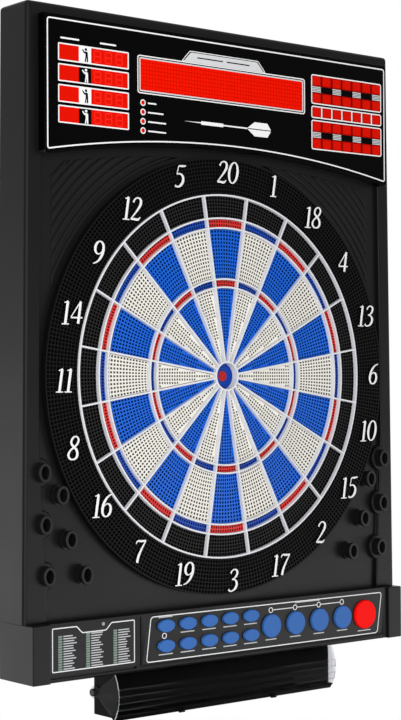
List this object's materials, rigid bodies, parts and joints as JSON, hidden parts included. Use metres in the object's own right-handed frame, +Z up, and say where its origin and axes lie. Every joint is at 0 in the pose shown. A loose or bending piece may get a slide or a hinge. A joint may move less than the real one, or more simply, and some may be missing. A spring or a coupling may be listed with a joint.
{
  "type": "electronic dartboard cabinet",
  "caption": "Wall-hung electronic dartboard cabinet with a segmented soft-tip target, an arched score display, a push-button console, dart holders and a tray behind a swinging visor.",
  "frame": {"origin": "on the wall plane, straight behind the centre of the bull", "axes": "+X to the player's right, +Y into the wall, +Z up"},
  "size_m": [0.6066, 0.072, 0.8516],
  "materials": {
    "black_body": "fine-textured black moulding",
    "black_trim": "satin black moulding",
    "gloss_black": "glossy black panel",
    "red_lens": "clear red window",
    "circuit": "green circuit board",
    "spider_grey": "satin light grey",
    "film": "amber sensor film",
    "foam": "matt foam rubber",
    "hardboard": "smooth hardboard",
    "black_screw": "blackened",
    "speaker_metal": "dark grey",
    "steel": "plain",
    "bed_blue": "satin",
    "bed_cream": "satin",
    "bed_red": "satin",
    "button_blue": "smooth",
    "button_red": "smooth",
    "clear_smoke": "clear, lightly smoked"
  },
  "bodies": {
    "cabinet": {"front_housing": "black_body", "rear_cover": "black_body", "dart_holders": "black_trim", "display_fascia": "gloss_black", "display_lenses": "red_lens", "display_board": "circuit", "number_ring": "black_trim", "spider": "spider_grey", "catch_pads": "black_trim", "sensor_film": "film", "backing_pad": "foam", "backing_plate": "hardboard", "console_housing": "black_body", "button_plate": "gloss_black", "list_plate": "gloss_black", "button_board": "circuit", "accessory_tray": "black_body", "pivot_screws": "black_screw", "speaker": "speaker_metal", "main_board": "circuit", "power_socket": "black_trim", "housing_screws": "steel"},
    "bed_20": {"bed_20": "bed_blue"},
    "bed_1": {"bed_1": "bed_cream"},
    "bed_18": {"bed_18": "bed_blue"},
    "bed_4": {"bed_4": "bed_cream"},
    "bed_13": {"bed_13": "bed_blue"},
    "bed_6": {"bed_6": "bed_cream"},
    "bed_10": {"bed_10": "bed_blue"},
    "bed_15": {"bed_15": "bed_cream"},
    "bed_2": {"bed_2": "bed_blue"},
    "bed_17": {"bed_17": "bed_cream"},
    "bed_3": {"bed_3": "bed_blue"},
    "bed_19": {"bed_19": "bed_cream"},
    "bed_7": {"bed_7": "bed_blue"},
    "bed_16": {"bed_16": "bed_cream"},
    "bed_8": {"bed_8": "bed_blue"},
    "bed_11": {"bed_11": "bed_cream"},
    "bed_14": {"bed_14": "bed_blue"},
    "bed_9": {"bed_9": "bed_cream"},
    "bed_12": {"bed_12": "bed_blue"},
    "bed_5": {"bed_5": "bed_cream"},
    "outer_bull": {"outer_bull": "bed_blue"},
    "inner_bull": {"inner_bull": "bed_red"},
    "small_button_1": {"small_button_1": "button_blue"},
    "small_button_2": {"small_button_2": "button_blue"},
    "small_button_3": {"small_button_3": "button_blue"},
    "small_button_4": {"small_button_4": "button_blue"},
    "small_button_5": {"small_button_5": "button_blue"},
    "small_button_6": {"small_button_6": "button_blue"},
    "small_button_7": {"small_button_7": "button_blue"},
    "small_button_8": {"small_button_8": "button_blue"},
    "small_button_9": {"small_button_9": "button_blue"},
    "small_button_10": {"small_button_10": "button_blue"},
    "large_button_1": {"large_button_1": "button_blue"},
    "large_button_2": {"large_button_2": "button_blue"},
    "large_button_3": {"large_button_3": "button_blue"},
    "large_button_4": {"large_button_4": "button_blue"},
    "start_button": {"start_button": "button_red"},
    "visor": {"visor": "clear_smoke"}
  },
  "joints": [
    {"name": "bed_20_press", "type": "slide", "parent": "cabinet", "child": "bed_20", "axis": [0, 1, 0], "range_m": [0, 0.0015], "stiffness_N_per_m": 2500},
    {"name": "bed_1_press", "type": "slide", "parent": "cabinet", "child": "bed_1", "axis": [0, 1, 0], "range_m": [0, 0.0015], "stiffness_N_per_m": 2500},
    {"name": "bed_18_press", "type": "slide", "parent": "cabinet", "child": "bed_18", "axis": [0, 1, 0], "range_m": [0, 0.0015], "stiffness_N_per_m": 2500},
    {"name": "bed_4_press", "type": "slide", "parent": "cabinet", "child": "bed_4", "axis": [0, 1, 0], "range_m": [0, 0.0015], "stiffness_N_per_m": 2500},
    {"name": "bed_13_press", "type": "slide", "parent": "cabinet", "child": "bed_13", "axis": [0, 1, 0], "range_m": [0, 0.0015], "stiffness_N_per_m": 2500},
    {"name": "bed_6_press", "type": "slide", "parent": "cabinet", "child": "bed_6", "axis": [0, 1, 0], "range_m": [0, 0.0015], "stiffness_N_per_m": 2500},
    {"name": "bed_10_press", "type": "slide", "parent": "cabinet", "child": "bed_10", "axis": [0, 1, 0], "range_m": [0, 0.0015], "stiffness_N_per_m": 2500},
    {"name": "bed_15_press", "type": "slide", "parent": "cabinet", "child": "bed_15", "axis": [0, 1, 0], "range_m": [0, 0.0015], "stiffness_N_per_m": 2500},
    {"name": "bed_2_press", "type": "slide", "parent": "cabinet", "child": "bed_2", "axis": [0, 1, 0], "range_m": [0, 0.0015], "stiffness_N_per_m": 2500},
    {"name": "bed_17_press", "type": "slide", "parent": "cabinet", "child": "bed_17", "axis": [0, 1, 0], "range_m": [0, 0.0015], "stiffness_N_per_m": 2500},
    {"name": "bed_3_press", "type": "slide", "parent": "cabinet", "child": "bed_3", "axis": [0, 1, 0], "range_m": [0, 0.0015], "stiffness_N_per_m": 2500},
    {"name": "bed_19_press", "type": "slide", "parent": "cabinet", "child": "bed_19", "axis": [0, 1, 0], "range_m": [0, 0.0015], "stiffness_N_per_m": 2500},
    {"name": "bed_7_press", "type": "slide", "parent": "cabinet", "child": "bed_7", "axis": [0, 1, 0], "range_m": [0, 0.0015], "stiffness_N_per_m": 2500},
    {"name": "bed_16_press", "type": "slide", "parent": "cabinet", "child": "bed_16", "axis": [0, 1, 0], "range_m": [0, 0.0015], "stiffness_N_per_m": 2500},
    {"name": "bed_8_press", "type": "slide", "parent": "cabinet", "child": "bed_8", "axis": [0, 1, 0], "range_m": [0, 0.0015], "stiffness_N_per_m": 2500},
    {"name": "bed_11_press", "type": "slide", "parent": "cabinet", "child": "bed_11", "axis": [0, 1, 0], "range_m": [0, 0.0015], "stiffness_N_per_m": 2500},
    {"name": "bed_14_press", "type": "slide", "parent": "cabinet", "child": "bed_14", "axis": [0, 1, 0], "range_m": [0, 0.0015], "stiffness_N_per_m": 2500},
    {"name": "bed_9_press", "type": "slide", "parent": "cabinet", "child": "bed_9", "axis": [0, 1, 0], "range_m": [0, 0.0015], "stiffness_N_per_m": 2500},
    {"name": "bed_12_press", "type": "slide", "parent": "cabinet", "child": "bed_12", "axis": [0, 1, 0], "range_m": [0, 0.0015], "stiffness_N_per_m": 2500},
    {"name": "bed_5_press", "type": "slide", "parent": "cabinet", "child": "bed_5", "axis": [0, 1, 0], "range_m": [0, 0.0015], "stiffness_N_per_m": 2500},
    {"name": "outer_bull_press", "type": "slide", "parent": "cabinet", "child": "outer_bull", "axis": [0, 1, 0], "range_m": [0, 0.0015], "stiffness_N_per_m": 2500},
    {"name": "inner_bull_press", "type": "slide", "parent": "cabinet", "child": "inner_bull", "axis": [0, 1, 0], "range_m": [0, 0.0015], "stiffness_N_per_m": 2500},
    {"name": "small_button_1_press", "type": "slide", "parent": "cabinet", "child": "small_button_1", "axis": [0, 1, 0], "range_m": [0, 0.0018], "stiffness_N_per_m": 1200},
    {"name": "small_button_2_press", "type": "slide", "parent": "cabinet", "child": "small_button_2", "axis": [0, 1, 0], "range_m": [0, 0.0018], "stiffness_N_per_m": 1200},
    {"name": "small_button_3_press", "type": "slide", "parent": "cabinet", "child": "small_button_3", "axis": [0, 1, 0], "range_m": [0, 0.0018], "stiffness_N_per_m": 1200},
    {"name": "small_button_4_press", "type": "slide", "parent": "cabinet", "child": "small_button_4", "axis": [0, 1, 0], "range_m": [0, 0.0018], "stiffness_N_per_m": 1200},
    {"name": "small_button_5_press", "type": "slide", "parent": "cabinet", "child": "small_button_5", "axis": [0, 1, 0], "range_m": [0, 0.0018], "stiffness_N_per_m": 1200},
    {"name": "small_button_6_press", "type": "slide", "parent": "cabinet", "child": "small_button_6", "axis": [0, 1, 0], "range_m": [0, 0.0018], "stiffness_N_per_m": 1200},
    {"name": "small_button_7_press", "type": "slide", "parent": "cabinet", "child": "small_button_7", "axis": [0, 1, 0], "range_m": [0, 0.0018], "stiffness_N_per_m": 1200},
    {"name": "small_button_8_press", "type": "slide", "parent": "cabinet", "child": "small_button_8", "axis": [0, 1, 0], "range_m": [0, 0.0018], "stiffness_N_per_m": 1200},
    {"name": "small_button_9_press", "type": "slide", "parent": "cabinet", "child": "small_button_9", "axis": [0, 1, 0], "range_m": [0, 0.0018], "stiffness_N_per_m": 1200},
    {"name": "small_button_10_press", "type": "slide", "parent": "cabinet", "child": "small_button_10", "axis": [0, 1, 0], "range_m": [0, 0.0018], "stiffness_N_per_m": 1200},
    {"name": "large_button_1_press", "type": "slide", "parent": "cabinet", "child": "large_button_1", "axis": [0, 1, 0], "range_m": [0, 0.0018], "stiffness_N_per_m": 1200},
    {"name": "large_button_2_press", "type": "slide", "parent": "cabinet", "child": "large_button_2", "axis": [0, 1, 0], "range_m": [0, 0.0018], "stiffness_N_per_m": 1200},
    {"name": "large_button_3_press", "type": "slide", "parent": "cabinet", "child": "large_button_3", "axis": [0, 1, 0], "range_m": [0, 0.0018], "stiffness_N_per_m": 1200},
    {"name": "large_button_4_press", "type": "slide", "parent": "cabinet", "child": "large_button_4", "axis": [0, 1, 0], "range_m": [0, 0.0018], "stiffness_N_per_m": 1200},
    {"name": "start_button_press", "type": "slide", "parent": "cabinet", "child": "start_button", "axis": [0, 1, 0], "range_m": [0, 0.0018], "stiffness_N_per_m": 1200},
    {"name": "visor_swing", "type": "hinge", "parent": "cabinet", "child": "visor", "pos_m": [0, -0.02, -0.38275], "axis": [1, 0, 0], "range_deg": [0, 70]}
  ]
}
